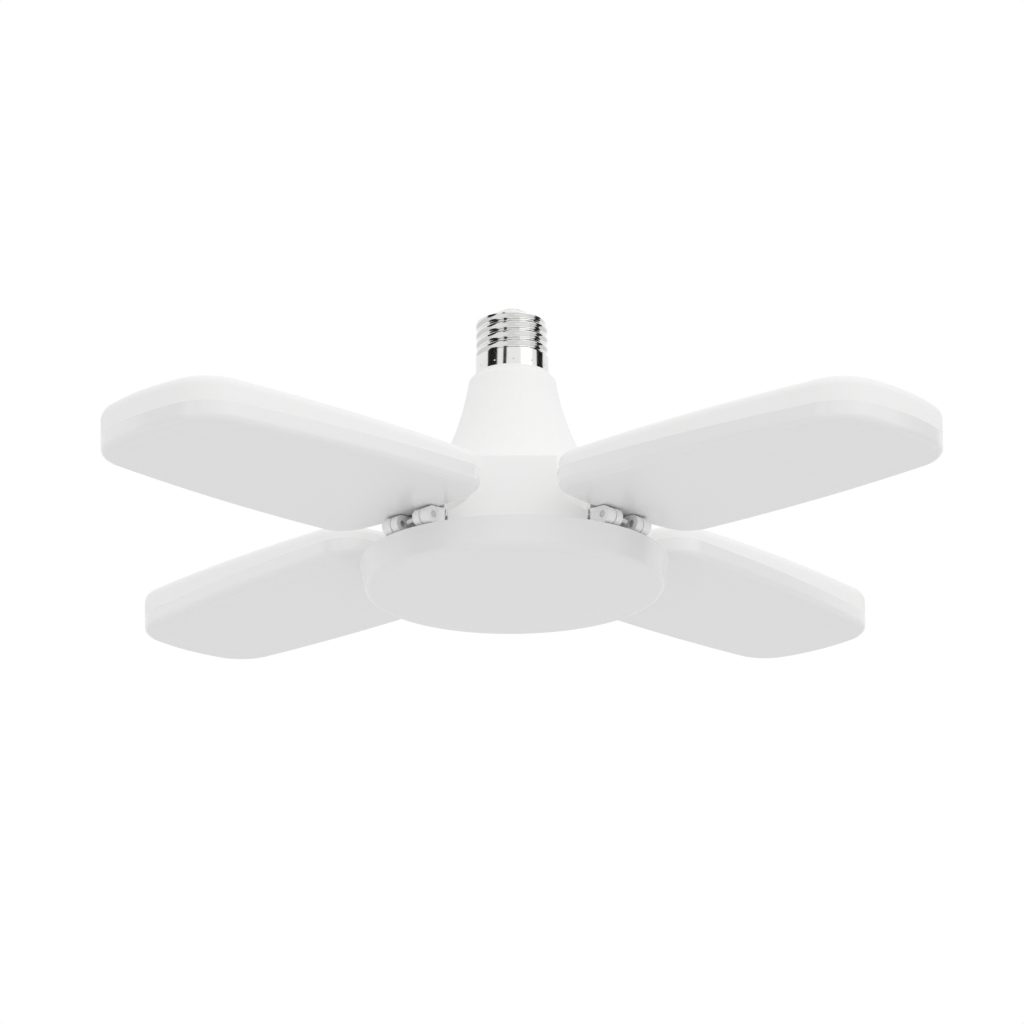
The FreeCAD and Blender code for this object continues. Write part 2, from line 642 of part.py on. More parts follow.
disc_leds = []
for share, count in DISC_RINGS.items():
    ring = led(share * value("disc_board_radius"), 0,
               value(f"{DISC_BOARD_TOP} - board_thickness"))
    disc_leds += copies_round(ring, count, start=HALF_TURN / count)
solid_node("centre_leds", Part.makeCompound(disc_leds))


def screw(x, head_top, length):
    """An upright screw, head down."""
    shank, head, tall = numbers("screw_radius", "head_radius", "head_height")
    cap = Part.makeCylinder(head, tall, Vector(x, 0, head_top - tall))
    cap = cap.makeFillet(tall / 3, [cap.Edges[2]])
    return cap.fuse(Part.makeCylinder(shank, length, Vector(x, 0, head_top))).removeSplitter()


radius, seat, grip = numbers("tray_screw_radius", f"{TRAY_TOP} - tray_thickness",
                             "tray_thickness + arm_foot_height - 2 * tip_gap")
solid_node("tray_screws", Part.makeCompound(copies_round(screw(radius, seat, grip), FOUR)))
radius, seat, grip = numbers(
    "neck_screw_radius", f"{TRAY_TOP} + head_height",
    "hub_height - head_height + roof_thickness + neck_screw_grip - tip_gap")
solid_node("neck_screws", Part.makeCompound(copies_round(screw(radius, seat, grip), FOUR)))

# ---- Driver inside the hub ----

half_long, half_wide, under, top = numbers(
    "driver_half_length", "driver_half_width", DRIVER_UNDER, DRIVER_TOP)
board = Part.makeBox(2 * half_long, 2 * half_wide, top - under,
                     Vector(-half_long, -half_wide, under))
solid_node("driver_board", board)


def rounded_rod(radius, length, foot, direction):
    """A rod with rounded ends, for the capacitor and the resistor."""
    rod = Part.makeCylinder(radius, length, foot, direction)
    return rod.makeFillet(value("part_round"), [rod.Edges[0], rod.Edges[2]])


def board_block(name, corner_x, corner_y):
    """A block on the driver board, by the names of its three sizes."""
    length, width, height = numbers(f"{name}_length", f"{name}_width", f"{name}_height")
    return Part.makeBox(length, width, height, Vector(corner_x, corner_y, top))


radius, height = numbers("capacitor_radius", "capacitor_height")
solid_node("bulk_capacitor",
           rounded_rod(radius, height, Vector(half_long * 0.6, 0, top), Vector(0, 0, 1)))
core_block = board_block("core", -half_long * 0.7, value("-core_width / 2"))
solid_node("transformer", core_block.makeFillet(1, core_block.Edges))
solid_node("bridge_rectifier", board_block("bridge", 0, half_wide - 8))
solid_node("driver_chip", board_block("chip", 0, -half_wide + 2))
radius, length = numbers("fuse_radius", "fuse_length")
fuse_foot = Vector(-half_long + 2, half_wide - 3, top + radius)
solid_node("fuse_resistor", rounded_rod(radius, length, fuse_foot, Vector(1, 0, 0)))

lead_size, bend, contact_foot, shell_side = numbers(
    "lead_radius", "lead_bend", f"{INSULATOR_FOOT} - 4",
    f"{SPIGOT_INNER} - lead_radius - fit_gap")
supply_bend = value("supply_bend")
live = lead_solid([(4, 0, top), (4, 0, -20), (0, 0, -8), (0, 0, contact_foot)],
                  lead_size, supply_bend)
solid_node("live_lead", live)
spigot_top = value("spigot_height")
neutral = lead_solid([(7, 8, top), (7, 8, -24), (shell_side, 0, -10),
                      (shell_side, 0, spigot_top + 3)], lead_size, supply_bend)
solid_node("neutral_lead", neutral)
pair = [Part.makeCylinder(lead_size, under - value(DISC_BOARD_TOP),
                          Vector(x, 0, value(DISC_BOARD_TOP))) for x in (-1, 1)]
solid_node("centre_light_leads", Part.makeCompound(pair))

hinge_out, hinge_up, beside = numbers("hinge_radius", HINGE_HEIGHT, "lead_offset")
feed_start = half_wide * 0.8
feed = lead_solid([(hinge_out, 0, hinge_up), (hinge_out, -beside, hinge_up),
                   (feed_start, -beside, hinge_up), (feed_start, -beside, under)],
                  lead_size, min(bend, beside))
solid_node("blade_feed_leads", Part.makeCompound(copies_round(feed, FOUR, start=45)))

# ---- Hinge pins and washers ----

pin, slot_side, lug_side, cheek_side, thin = numbers(
    "pin_radius", "lead_slot", LUG_OUTER, CHEEK_OUTER, "washer_thickness")
pins = []
washers = []
for side in (-1, 1):
    start = Vector(hinge_out, side * (slot_side + 0.2), hinge_up)
    pins.append(Part.makeCylinder(pin, cheek_side - slot_side - 0.4, start,
                                  Vector(0, side, 0)))
    start = Vector(hinge_out, side * (lug_side + value("knuckle_gap") / 2 - thin / 2), hinge_up)
    ring = Part.makeCylinder(value("barrel_radius") - 0.4, thin, start, Vector(0, side, 0))
    washers.append(ring.cut(Part.makeCylinder(pin + value("pin_gap"), thin, start,
                                              Vector(0, side, 0))))
all_pins = [copy for item in pins for copy in copies_round(item, FOUR, start=45)]
all_washers = [copy for item in washers for copy in copies_round(item, FOUR, start=45)]
solid_node("hinge_pins", Part.makeCompound(all_pins))
solid_node("friction_washers", Part.makeCompound(all_washers))

# ---- Blades: each is drawn about its hinge axis, running out along +X ----


def blade_corners(inset):
    """Corners of the blade's plan, drawn in by the inset."""
    return [
        (f"root_corner_reach + {inset}", f"-(root_half_width - {inset})"),
        (f"tip_corner_reach - {inset}", f"-(tip_half_width - {inset})"),
        (f"tip_corner_reach - {inset}", f"tip_half_width - {inset}"),
        (f"root_corner_reach + {inset}", f"root_half_width - {inset}"),
    ]


BLADE_BOWS = {0: ("side_bow", 1), 1: ("tip_reach - tip_corner_reach", 1),
              2: ("side_bow", 1), 3: ("root_corner_reach + root_setback", 1)}


def blade_slab(name, inset, foot, height, down=False):
    """The blade's plan, drawn in by the inset, with its corners rounded."""
    body = new_body(name)
    plan = outline(body, "XY_Plane", blade_corners(inset), BLADE_BOWS, lift=foot)
    add(body, plan, height, down=down)
    doc.recompute()
    halfway = value("tip_reach") / 2
    fillet(body, upright_edges(body.Shape, lambda foot: foot.x < halfway),
           f"max(root_corner_radius - {inset}; 0.6)")
    fillet(body, upright_edges(body.Shape, lambda foot: foot.x > halfway),
           f"max(tip_corner_radius - {inset}; 0.6)")
    return body


def slope_off(body, wall):
    """Cut the back down to its slope from the tip to the root."""
    low = f"(seam_rise + housing_root_height - {wall})"
    high = f"(seam_rise + housing_tip_height - {wall})"
    clear = f"({high} + 4 * housing_wall)"
    plan = outline(body, "XZ_Plane", [
        ("-2 * root_setback", f"{low} - root_setback * ({high} - {low}) / tip_reach"),
        ("tip_reach", high), ("tip_reach + root_setback", high),
        ("tip_reach + root_setback", clear), ("-2 * root_setback", clear)])
    take(body, plan, "4 * root_half_width", both_ways=True)


def boss_line(inner, foot, height):
    """Posts or holes for the screws along a blade's middle."""
    radius, step, low, tall = numbers(inner, "boss_spacing", foot, height)
    first = value("(tip_reach - root_setback) / 2") - step
    return [Part.makeCylinder(radius, tall, Vector(first + step * index, 0, low))
            for index in range(SCREWS_PER_BLADE)]


BOARD_TOP = "(seam_rise + board_lift + board_thickness)"


def root_shape():
    """The blade's root: a block in the hub's corner, and two cheeks with round ends."""
    apex, half, low, high, clear = numbers(
        NOTCH_APEX, "root_block_half_width", "barrel_radius + knuckle_gap",
        "seam_rise + housing_root_height * 0.75", "root_setback + 0.4")
    flat = value("lead_slot") * 0.8
    plan = [(apex + flat, -flat), (apex + half, -half), (-clear, -half), (-clear, half),
            (apex + half, half), (apex + flat, flat)]
    block = extruded(plan, low, high)
    inner, outer, barrel, pin_hole = numbers(
        CHEEK_INNER, CHEEK_OUTER, "barrel_radius", "pin_radius + pin_gap")
    rear, wall = -clear - 0.1, value("housing_wall - root_setback")
    bridge = extruded([(rear, -half), (wall, -half), (wall, half), (rear, half)],
                      value("seam_rise"), high)
    pieces = [block, bridge]
    heel = apex + inner + value("swing_gap")
    for side in (-1, 1):
        cheek = [(heel, side * inner), (-clear, side * (inner - clear - heel)),
                 (-clear, side * inner)]
        pieces.append(extruded(cheek, -barrel, low + barrel / 2))
        front = [(heel, side * inner), (heel + outer - inner, side * outer),
                 (0, side * outer), (0, side * inner)]
        pieces.append(extruded(front, -barrel, barrel))
        pieces.append(Part.makeCylinder(barrel, outer - inner, Vector(0, side * inner, 0),
                                        Vector(0, side, 0)))
    root = pieces[0].fuse(pieces[1:]).removeSplitter()
    hole = Part.makeCylinder(pin_hole, 4 * outer, Vector(0, -2 * outer, 0), Vector(0, 1, 0))
    return root.cut(hole)


def extruded(plan, low, high):
    """An upright block on a plan."""
    corners = [Vector(x, y, low) for x, y in plan]
    return Part.Face(Part.makePolygon(corners + corners[:1])).extrude(Vector(0, 0, high - low))


def make_blade(name, azimuth):
    """One blade: housing, LED board, LEDs, screws, milky cover and lead."""
    swing = Placement(Vector(), Rotation(Vector(0, 0, 1), azimuth))
    hinge = Placement(Vector(hinge_out, 0, hinge_up), Rotation(Vector(0, 1, 0),
                                                              value("blade_droop")))
    place = swing * hinge
    outer = blade_slab("Back", "0", "seam_rise", "housing_tip_height + housing_wall")
    slope_off(outer, "0")
    fillet(outer, rim_edges(outer.Shape, 1), "housing_round")
    inner = blade_slab("Hollow", "housing_wall", "seam_rise - 1", "housing_tip_height")
    slope_off(inner, "housing_wall")
    fillet(inner, rim_edges(inner.Shape, 1), "housing_round - housing_wall")
    doc.recompute()
    posts = boss_line("boss_radius", BOARD_TOP, "housing_tip_height")
    shell = outer.Shape.cut(inner.Shape)
    shell = shell.fuse([post.common(outer.Shape) for post in posts] + [root_shape()])
    start, end, foot, roof, half = numbers(
        f"{NOTCH_APEX} + duct_setback", "housing_wall - root_setback + duct_overrun",
        "barrel_radius - knuckle_gap",
        "seam_rise + housing_root_height - housing_wall - duct_roof", "lead_slot")
    duct = Part.makeBox(end - start, 2 * half, roof - foot, Vector(start, -half, foot))
    shell = shell.cut([duct] + boss_line("screw_radius + pin_gap", BOARD_TOP,
                                         "board_screw_grip + screw_tip_gap"))
    solid_node(f"{name}_housing", shell.removeSplitter(), place)

    board = blade_slab("Board", "board_inset", "seam_rise + board_lift", "board_thickness")
    doc.recompute()
    drilled = board.Shape.cut(boss_line("screw_radius + pin_gap", "seam_rise",
                                      "board_lift + 2 * board_thickness"))
    solid_node(f"{name}_led_board", drilled, place)

    side, step, under = numbers("led_side", "led_pitch", "seam_rise + board_lift")
    middle = value("(tip_reach - root_setback) / 2")
    packages = []
    for column in range(LED_COLUMNS):
        for row in range(LED_ROWS):
            x = middle + (column - (LED_COLUMNS - 1) / 2) * step
            y = (row - (LED_ROWS - 1) / 2) * step
            packages.append(led(x, y, under))
    solid_node(f"{name}_leds", Part.makeCompound(packages), place)

    first = value("(tip_reach - root_setback) / 2 - boss_spacing")
    step = value("boss_spacing")
    length = value("board_thickness + board_screw_grip")
    screws = [screw(first + step * index, under, length)
              for index in range(SCREWS_PER_BLADE)]
    solid_node(f"{name}_board_screws", Part.makeCompound(screws), place)

    cover = blade_slab("Cover", "0", "seam_rise", "diffuser_depth", down=True)
    fillet(cover, rim_edges(cover.Shape, -1), "diffuser_round")
    cavity = blade_slab("Cavity", "diffuser_wall", "seam_rise + 1",
                        "diffuser_depth - diffuser_wall + 1", down=True)
    fillet(cavity, rim_edges(cavity.Shape, -1), "diffuser_round - diffuser_wall")
    doc.recompute()
    solid_node(f"{name}_diffuser", cover.Shape.cut(cavity.Shape), place)

    lead_height = value(f"{BOARD_TOP} + lead_radius + fit_gap / 2")
    back = value(f"{NOTCH_APEX} + duct_setback + lead_radius + lead_clearance")
    tail = lead_solid([(0, 0, 0), (0, beside, 0), (back, beside, 0), (back, beside, lead_height),
                       (value("board_inset"), beside, lead_height)], lead_size,
                      min(bend, beside))
    solid_node(f"{name}_lead", tail, place)


for name, azimuth in BLADES.items():
    make_blade(name, azimuth)

doc.recompute()
for item in doc.Objects:
    if {"Invalid", "Error"} & set(item.State):
        raise RuntimeError(f"{item.Label} failed: {item.State}")
os.makedirs("parts", exist_ok=True)
for item in nodes:
    shape = item.Shape
    if shape.isNull() or not shape.isValid():
        raise RuntimeError(f"{item.Label} has no valid shape")
    shape.exportStep(f"parts/{item.Label}.step")
    print(f"{item.Label}: {len(shape.Solids)} solid(s), {shape.Volume / 1000:.2f} cm3")
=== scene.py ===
import json
import math

import bmesh
import bpy
from mathutils import Matrix, Vector

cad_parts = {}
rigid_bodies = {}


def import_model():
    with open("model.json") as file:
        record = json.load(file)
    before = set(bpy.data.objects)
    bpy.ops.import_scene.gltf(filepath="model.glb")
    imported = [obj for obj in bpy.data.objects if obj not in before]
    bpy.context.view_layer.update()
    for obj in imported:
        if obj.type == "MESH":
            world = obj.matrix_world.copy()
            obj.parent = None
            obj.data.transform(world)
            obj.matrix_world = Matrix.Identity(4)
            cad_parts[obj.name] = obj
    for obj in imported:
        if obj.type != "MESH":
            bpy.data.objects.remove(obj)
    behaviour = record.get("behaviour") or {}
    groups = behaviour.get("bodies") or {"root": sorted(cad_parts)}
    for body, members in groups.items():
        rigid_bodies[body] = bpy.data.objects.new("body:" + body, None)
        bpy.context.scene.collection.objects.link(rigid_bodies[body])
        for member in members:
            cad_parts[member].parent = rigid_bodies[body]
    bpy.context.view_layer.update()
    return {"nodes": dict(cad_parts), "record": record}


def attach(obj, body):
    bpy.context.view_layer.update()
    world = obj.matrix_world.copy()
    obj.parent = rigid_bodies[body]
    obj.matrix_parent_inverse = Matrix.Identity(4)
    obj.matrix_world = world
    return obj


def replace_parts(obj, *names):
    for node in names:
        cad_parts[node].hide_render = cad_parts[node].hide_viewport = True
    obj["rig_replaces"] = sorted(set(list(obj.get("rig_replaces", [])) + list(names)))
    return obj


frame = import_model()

bl_info = {
    "name": "Folding Four-Blade Lamp",
    "version": (1, 0, 0),
    "blender": (4, 5, 0),
    "location": "3D View > Sidebar > Lamp",
    "description": "Dresses a screw-in lamp with four folding light blades and sets its stage",
    "category": "Object",
}

BODY_OF = {node: body for body, nodes in frame["record"]["behaviour"]["bodies"].items()
           for node in nodes}
SLOT_OF = {part["node"]: part["material_slot"] for part in frame["record"]["subparts"]}
BLADES = ("front_right", "rear_right", "rear_left", "front_left")
WELD = 1e-6
SEAM_HEIGHT = -0.071
IMAGE_SIDE = 1024
SENSOR = 36.0
FIRST_COLOUR, SECOND_COLOUR, MIXED_COLOUR = 6, 7, 2


# ---- Settings ----

class LampFinishSettings(bpy.types.PropertyGroup):
    housing_colour: bpy.props.FloatVectorProperty(
        name="Housing", description="Colour of the satin white mouldings",
        default=(0.905, 0.905, 0.9), subtype="COLOR", min=0, max=1)
    cover_colour: bpy.props.FloatVectorProperty(
        name="Milky covers", description="Colour of the covers' faces",
        default=(0.85, 0.85, 0.855), subtype="COLOR", min=0, max=1)
    # Painted shade: the darker tone given to the covers' walls that turn sideways up to their
    # seams
    cover_rim_painted_shade: bpy.props.FloatVectorProperty(
        name="Cover rims", description="Colour where the covers turn up to their seams",
        default=(0.79, 0.795, 0.80), subtype="COLOR", min=0, max=1)
    shell_colour: bpy.props.FloatVectorProperty(
        name="Screw shell", description="Colour of the nickel plate",
        default=(0.78, 0.775, 0.76), subtype="COLOR", min=0, max=1)
    smooth_angle: bpy.props.FloatProperty(
        name="Smooth angle", description="Edges flatter than this are shaded smoothly",
        default=math.radians(38), subtype="ANGLE")


class LampStageSettings(bpy.types.PropertyGroup):
    camera_distance: bpy.props.FloatProperty(
        name="Distance", description="Camera to the middle of the round light's seam",
        default=1.239, unit="LENGTH")
    camera_drop: bpy.props.FloatProperty(
        name="Drop", description="How far the camera looks up",
        default=0.3075, subtype="ANGLE")
    camera_turn: bpy.props.FloatProperty(
        name="Turn", description="Camera's turn about the lamp's axis",
        default=0.033, subtype="ANGLE")
    camera_roll: bpy.props.FloatProperty(
        name="Roll", description="Camera's roll", default=-0.011, subtype="ANGLE")
    pixels_per_metre: bpy.props.FloatProperty(
        name="Scale", description="Image pixels for a metre at the seam", default=2807.0)
    seam_left: bpy.props.FloatProperty(
        name="Seam left", description="Seam's middle from the image's left edge, in pixels",
        default=513.7)
    seam_down: bpy.props.FloatProperty(
        name="Seam down", description="Seam's middle from the image's top edge, in pixels",
        default=563.2)
    floor_height: bpy.props.FloatProperty(
        name="Floor", description="Height of the floor under the hanging lamp",
        default=-1.3, unit="LENGTH")
    room_light: bpy.props.FloatProperty(
        name="Room light", description="Strength of the even light", default=0.88, min=0)
    key_light: bpy.props.FloatProperty(
        name="Key light", description="Power of the large soft light", default=1.5, min=0,
        unit="POWER")


# ---- Materials ----

def principled(name, sockets):
    """A new material: its nodes, its links and its shader, with the given sockets set."""
    material = bpy.data.materials.new(name)
    material.use_nodes = True
    nodes = material.node_tree.nodes
    links = material.node_tree.links
    shader = nodes["Principled BSDF"]
    for socket, amount in sockets.items():
        shader.inputs[socket].default_value = amount
    return material, nodes, links, shader


def noise(nodes, links, where, scale, detail=4.0, roughness=0.5):
    """A noise texture read at the given coordinates."""
    texture = nodes.new("ShaderNodeTexNoise")
    texture.inputs["Scale"].default_value = scale
    texture.inputs["Detail"].default_value = detail
    texture.inputs["Roughness"].default_value = roughness
    links.new(where, texture.inputs["Vector"])
    return texture.outputs["Fac"]


def ranged(nodes, links, source, low, high, start=0.3, end=0.7):
    """The source spread over another range."""
    spread = nodes.new("ShaderNodeMapRange")
    spread.inputs["From Min"].default_value = start
    spread.inputs["From Max"].default_value = end
    spread.inputs["To Min"].default_value = low
    spread.inputs["To Max"].default_value = high
    links.new(source, spread.inputs["Value"])
    return spread.outputs["Result"]


def mixed(nodes, links, factor, first, second):
    """A mix of two colours, each a colour or a socket."""
    blend = nodes.new("ShaderNodeMix")
    blend.data_type = "RGBA"
    links.new(factor, blend.inputs["Factor"])
    for number, colour in ((FIRST_COLOUR, first), (SECOND_COLOUR, second)):
        if isinstance(colour, bpy.types.NodeSocket):
            links.new(colour, blend.inputs[number])
        else:
            blend.inputs[number].default_value = (*colour[:3], 1)
    return blend.outputs[MIXED_COLOUR]


def object_coordinates(nodes, links, stretch=(1, 1, 1)):
    """Object coordinates, stretched along the axes."""
    place = nodes.new("ShaderNodeTexCoord")
    mapping = nodes.new("ShaderNodeMapping")
    mapping.inputs["Scale"].default_value = stretch
    links.new(place.outputs["Object"], mapping.inputs["Vector"])
    return mapping.outputs["Vector"], place


def relief(nodes, links, shader, height, distance, strength=0.5):
    """A small bump on the shader."""
    bump = nodes.new("ShaderNodeBump")
    bump.inputs["Distance"].default_value = distance
    bump.inputs["Strength"].default_value = strength
    links.new(height, bump.inputs["Height"])
    links.new(bump.outputs["Normal"], shader.inputs["Normal"])


def grained(name, colour, shade, cloud, grain, gloss, depth, sockets):
    """A finish with soft colour clouds, a fine grain in its gloss and a small relief.
    shade is how dark the clouds go, cloud and grain are sizes in metres, gloss is the
    roughness range and depth the relief's height in metres."""
    material, nodes, links, shader = principled(name, sockets)
    where, _ = object_coordinates(nodes, links)
    clouds = ranged(nodes, links, noise(nodes, links, where, 1 / cloud, 3), 0, 1)
    grains = noise(nodes, links, where, 1 / grain, 5, 0.6)
    dark = [part * (1 - shade) for part in colour[:3]]
    links.new(mixed(nodes, links, clouds, dark, colour), shader.inputs["Base Color"])
    links.new(ranged(nodes, links, grains, *gloss), shader.inputs["Roughness"])
    relief(nodes, links, shader, grains, depth)
    return material


def satin_white(name, colour):
    """Satin moulded plastic: a fine spark-eroded grain and a faint warm cloud."""
    return grained(name, colour, 0.02, 0.045, 0.0006, (0.34, 0.46), 0.00002,
                   {"Specular IOR Level": 0.45, "Subsurface Weight": 0.04,
                    "Subsurface Scale": 0.002})


def milky_cover(name, face, rim_painted_shade):
    """Milky diffuser: smooth, with painted shade on the walls where it turns up to the seam.
    """
    material, nodes, links, shader = principled(name, {
        "Subsurface Weight": 0.12, "Subsurface Scale": 0.004,
        "Coat Weight": 0.25, "Coat Roughness": 0.12})
    where, place = object_coordinates(nodes, links)
    split = nodes.new("ShaderNodeSeparateXYZ")
    links.new(place.outputs["Normal"], split.inputs["Vector"])
    # Painted shade: faces turned sideways, away from straight down, take the darker painted
    # rim shade
    facing = ranged(nodes, links, split.outputs["Z"], 1, 0, -1, -0.35)
    clouds = ranged(nodes, links, noise(nodes, links, where, 28, 2), 0, 1)
    deep = [part * 0.985 for part in face[:3]]
    body = mixed(nodes, links, clouds, deep, face)
    links.new(mixed(nodes, links, facing, rim_painted_shade, body), shader.inputs["Base Color"])
    grains = noise(nodes, links, where, 900, 4)
    links.new(ranged(nodes, links, grains, 0.22, 0.30), shader.inputs["Roughness"])
    relief(nodes, links, shader, grains, 0.00001, 0.4)
    return material


def nickel_plate(name, colour):
    """Rolled nickel: fine lines round the shell and soft stains."""
    material, nodes, links, shader = principled(name, {"Metallic": 1.0})
    where, _ = object_coordinates(nodes, links, (40, 40, 3200))
    wide, _ = object_coordinates(nodes, links)
    lines = noise(nodes, links, where, 1, 3, 0.6)
    stains = ranged(nodes, links, noise(nodes, links, wide, 160, 4), 0, 1)
    dark = [part * 0.86 for part in colour[:3]]
    links.new(mixed(nodes, links, stains, dark, colour), shader.inputs["Base Color"])
    links.new(ranged(nodes, links, lines, 0.10, 0.22), shader.inputs["Roughness"])
    relief(nodes, links, shader, lines, 0.000008, 0.5)
    return material


METAL = {"Metallic": 1.0}
SHEEN = {"Specular IOR Level": 0.5, "Coat Weight": 0.3, "Coat Roughness": 0.1}
PLAIN = {"Specular IOR Level": 0.45}
INNER_FINISHES = {
    # slot: colour, shade, cloud, grain, gloss, relief, sockets
    "white_insulator": ((0.86, 0.86, 0.85), 0.05, 0.006, 0.0004, (0.18, 0.3), 0.00001, SHEEN),
    "contact_metal": ((0.80, 0.79, 0.76), 0.15, 0.002, 0.0003, (0.2, 0.38), 0.00003, METAL),
    "board_white": ((0.84, 0.84, 0.82), 0.03, 0.02, 0.0005, (0.35, 0.5), 0.00001, PLAIN),
    "led_phosphor": ((0.84, 0.70, 0.26), 0.12, 0.0012, 0.0002, (0.25, 0.4), 0.00001, SHEEN),
    "screw_steel": ((0.62, 0.63, 0.64), 0.2, 0.004, 0.0003, (0.25, 0.42), 0.00002, METAL),
    "board_green": ((0.03, 0.15, 0.06), 0.25, 0.008, 0.0006, (0.3, 0.45), 0.00003, SHEEN),
    "capacitor_sleeve": ((0.02, 0.021, 0.026), 0.3, 0.01, 0.0004, (0.2, 0.34), 0.00001, SHEEN),
    "black_plastic": ((0.014, 0.014, 0.015), 0.3, 0.006, 0.0003, (0.45, 0.65), 0.00003, PLAIN),
    "resistor_body": ((0.21, 0.39, 0.46), 0.15, 0.003, 0.0003, (0.3, 0.45), 0.00002, PLAIN),
    "lead_jacket": ((0.76, 0.76, 0.73), 0.06, 0.005, 0.0004, (0.4, 0.55), 0.00001, PLAIN),
    "washer_plastic": ((0.70, 0.70, 0.67), 0.05, 0.003, 0.0003, (0.4, 0.5), 0.00001, PLAIN),
}


def finishes():
    """The material of each slot, made once."""
    made = {}
    settings = bpy.context.scene.lamp_finish
    for slot in set(SLOT_OF.values()):
        if bpy.data.materials.get(slot):
            made[slot] = bpy.data.materials[slot]
        elif slot == "nickel_shell":
            made[slot] = nickel_plate(slot, settings.shell_colour)
        elif slot == "white_housing":
            made[slot] = satin_white(slot, settings.housing_colour)
        elif slot == "milky_cover":
            # The covers' walls get painted shade from the darker rim setting
            made[slot] = milky_cover(slot, settings.cover_colour, settings.cover_rim_painted_shade)
        else:
            made[slot] = grained(slot, *INNER_FINISHES[slot])
    return made


# ---- Modelling ----

def finished_piece(name, shape, node, material):
    """Turns a bmesh into a piece that rides with its solid's body and stands for it."""
    mesh = bpy.data.meshes.new(name)
    shape.to_mesh(mesh)
    shape.free()
    worn = mesh.attributes.get("custom_normal")
    if worn:
        mesh.attributes.remove(worn)
    mesh.materials.clear()
    mesh.materials.append(material)
    piece = bpy.data.objects.new(name, mesh)
    bpy.context.scene.collection.objects.link(piece)
    weighted = piece.modifiers.new("Even shading", "WEIGHTED_NORMAL")
    weighted.keep_sharp = True
    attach(piece, BODY_OF[node])
    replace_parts(piece, node)
    return piece


def shade(shape, angle):
    """Smooth faces, with edges kept where the surface turns sharply."""
    for face in shape.faces:
        face.smooth = True
    for edge in shape.edges:
        edge.smooth = edge.is_manifold and edge.calc_face_angle(0) < angle


def dressed(node, name):
    """A welded, smoothly shaded piece on a moulded solid's own form."""
    shape = bmesh.new()
    shape.from_mesh(frame["nodes"][node].data)
    bmesh.ops.remove_doubles(shape, verts=shape.verts, dist=WELD)
    bmesh.ops.dissolve_degenerate(shape, edges=shape.edges, dist=WELD)
    shade(shape, bpy.context.scene.lamp_finish.smooth_angle)
    return finished_piece(name, shape, node, finishes()[SLOT_OF[node]])


def painted(nodes):
    """Gives solids that stay as they are the finish of their slots."""
    made = finishes()
    for node in nodes:
        mesh = frame["nodes"][node].data
        mesh.materials.clear()
        mesh.materials.append(made[SLOT_OF[node]])


# ---- Operators ----

class LAMP_OT_screw_cap(bpy.types.Operator):
    """Dress the rolled screw shell, its insulator and the centre contact"""
    bl_idname = "lamp.screw_cap"
    bl_label = "Screw Cap"

    def execute(self, context):
        dressed("screw_shell", "rolled_screw_shell")
        dressed("cap_insulator", "insulating_cone")
        dressed("centre_contact", "contact_button")
        return {"FINISHED"}


class LAMP_OT_neck(bpy.types.Operator):
    """Dress the flared neck and its roof"""
    bl_idname = "lamp.neck"
    bl_label = "Neck"

    def execute(self, context):
        dressed("neck_housing", "flared_neck")
        return {"FINISHED"}


class LAMP_OT_hub(bpy.types.Operator):
    """Dress the cross-shaped hub with its hinge lugs, pins and washers"""
    bl_idname = "lamp.hub"
    bl_label = "Hub"

    def execute(self, context):
        dressed("hub_frame", "cross_hub")
        dressed("hinge_pins", "hinge_pin_set")
        dressed("friction_washers", "washer_set")
        return {"FINISHED"}


class LAMP_OT_round_light(bpy.types.Operator):
    """Dress the round light's tray and its milky cover"""
    bl_idname = "lamp.round_light"
    bl_label = "Round Light"

    def execute(self, context):
        dressed("centre_tray", "round_tray")
        dressed("centre_diffuser", "round_cover")
        return {"FINISHED"}


class LAMP_OT_blades(bpy.types.Operator):
    """Dress the four folding blades: back shell, milky cover and lead"""
    bl_idname = "lamp.blades"
    bl_label = "Blades"

    def execute(self, context):
        for blade in BLADES:
            dressed(f"{blade}_housing", f"{blade}_back_shell")
            dressed(f"{blade}_diffuser", f"{blade}_cover")
            dressed(f"{blade}_lead", f"{blade}_supply_lead")
        return {"FINISHED"}


class LAMP_OT_inner_parts(bpy.types.Operator):
    """Give the boards, chips, screws and driver parts their finishes"""
    bl_idname = "lamp.inner_parts"
    bl_label = "Inner Parts"

    def execute(self, context):
        covered = {node for piece in bpy.data.objects if "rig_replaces" in piece
                   for node in piece["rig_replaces"]}
        painted([node for node in frame["nodes"] if node not in covered])
        return {"FINISHED"}


def flat_panel(name, width, height, place, look_at, material):
    """A flat panel that faces a point."""
    shape = bmesh.new()
    bmesh.ops.create_grid(shape, x_segments=1, y_segments=1, size=0.5)
    turn = (Vector(look_at) - Vector(place)).to_track_quat("Z", "Y").to_matrix().to_4x4()
    bmesh.ops.transform(shape, verts=shape.verts, matrix=(
        Matrix.Translation(place) @ turn @ Matrix.Diagonal((width, height, 1, 1))))
    mesh = bpy.data.meshes.new(name)
    shape.to_mesh(mesh)
    shape.free()
    mesh.materials.append(material)
    panel = bpy.data.objects.new(name, mesh)
    bpy.context.scene.collection.objects.link(panel)
    return panel


def soft_light(name, place, side, power):
    """A square soft light that faces the lamp."""
    lamp = bpy.data.lights.new(name, "AREA")
    lamp.shape = "SQUARE"
    lamp.size = side
    lamp.energy = power
    light = bpy.data.objects.new(name, lamp)
    light.location = place
    light.rotation_euler = (-Vector(place)).to_track_quat("-Z", "Y").to_euler()
    bpy.context.scene.collection.objects.link(light)
    return light


